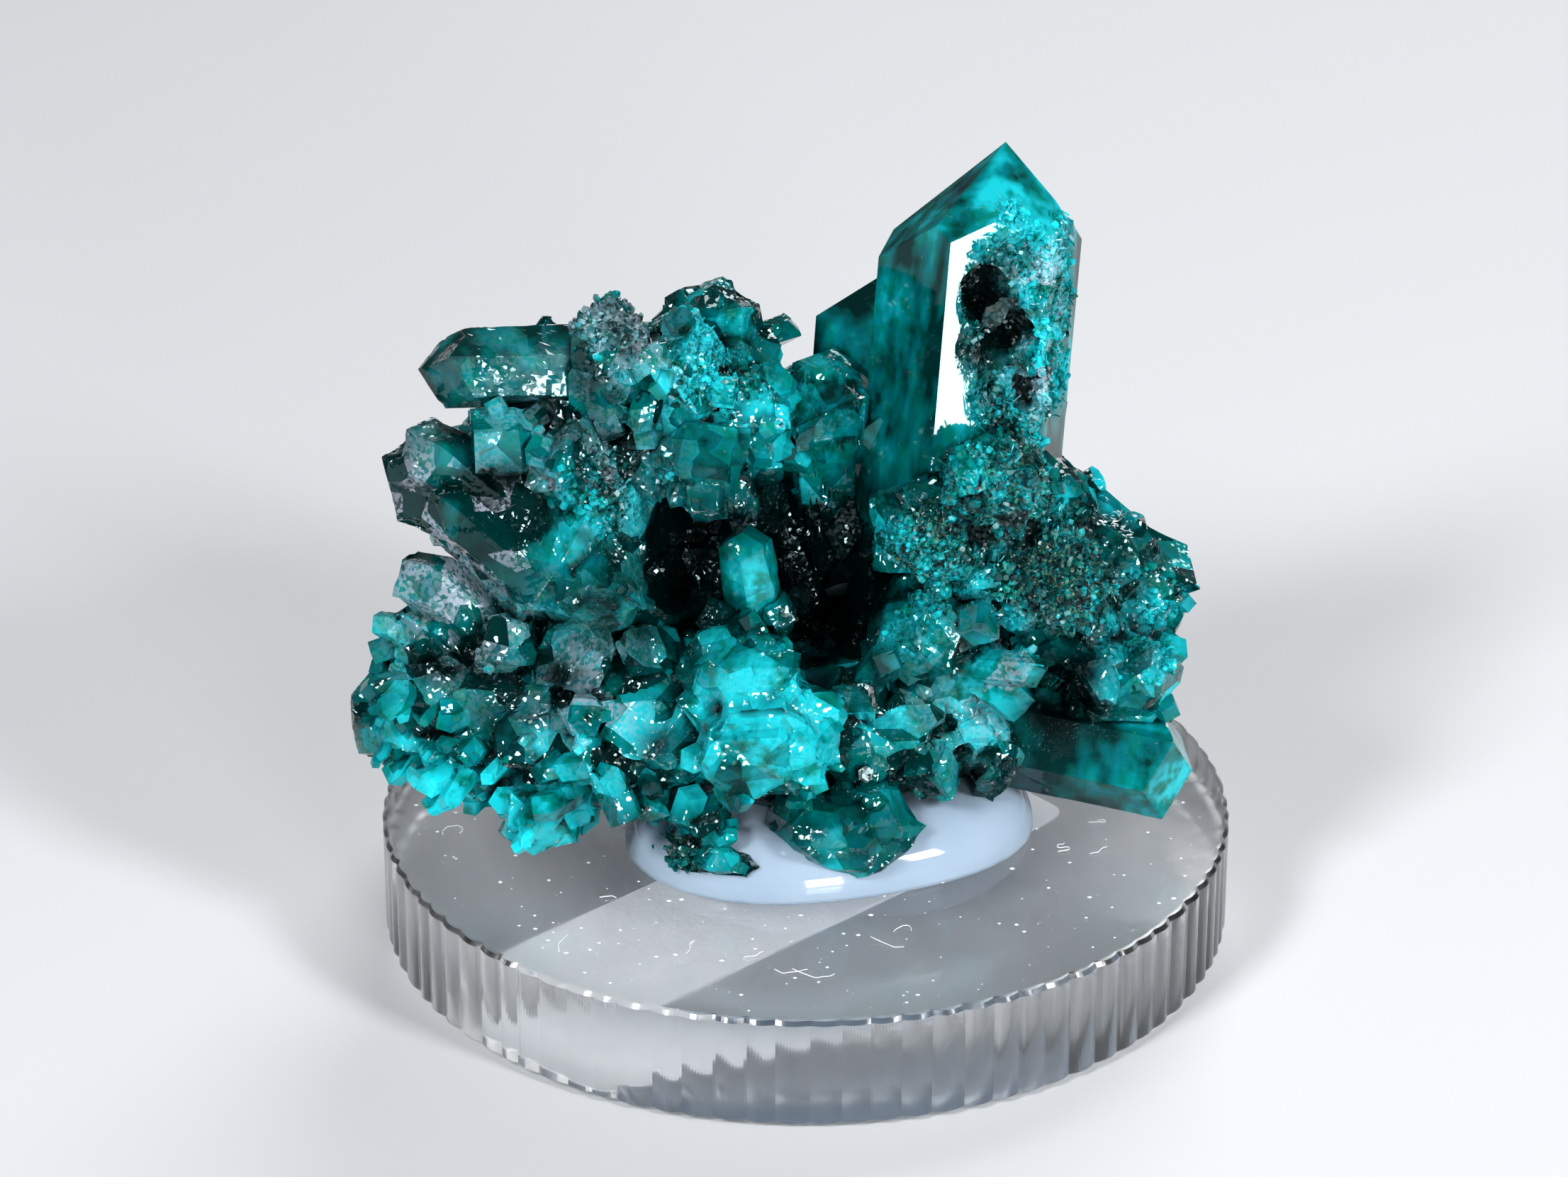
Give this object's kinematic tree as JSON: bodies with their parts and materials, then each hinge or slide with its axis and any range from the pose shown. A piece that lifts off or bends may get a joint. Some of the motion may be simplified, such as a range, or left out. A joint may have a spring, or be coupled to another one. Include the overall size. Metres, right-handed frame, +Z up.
{
  "type": "dioptase crystal specimen on display base",
  "caption": "Cluster of emerald-green dioptase crystals with a tall capped prism, glued to a round clear acrylic display base with a paper label strip under it.",
  "frame": {"origin": "centre of the disc's underside, on the table", "axes": "+Z up, +Y away from the viewer of the picture, +X to the right"},
  "size_m": [0.0308, 0.03, 0.028],
  "materials": {
    "dioptase": "vitreous crystal faces with rough crusts",
    "glue": "milky gloss",
    "acrylic": "clear polish with a fluted edge",
    "paper": "matt white paper"
  },
  "bodies": {
    "root": {"dioptase_cluster": "dioptase", "glue_pad": "glue", "acrylic_base": "acrylic", "label_strip": "paper"}
  },
  "joints": []
}
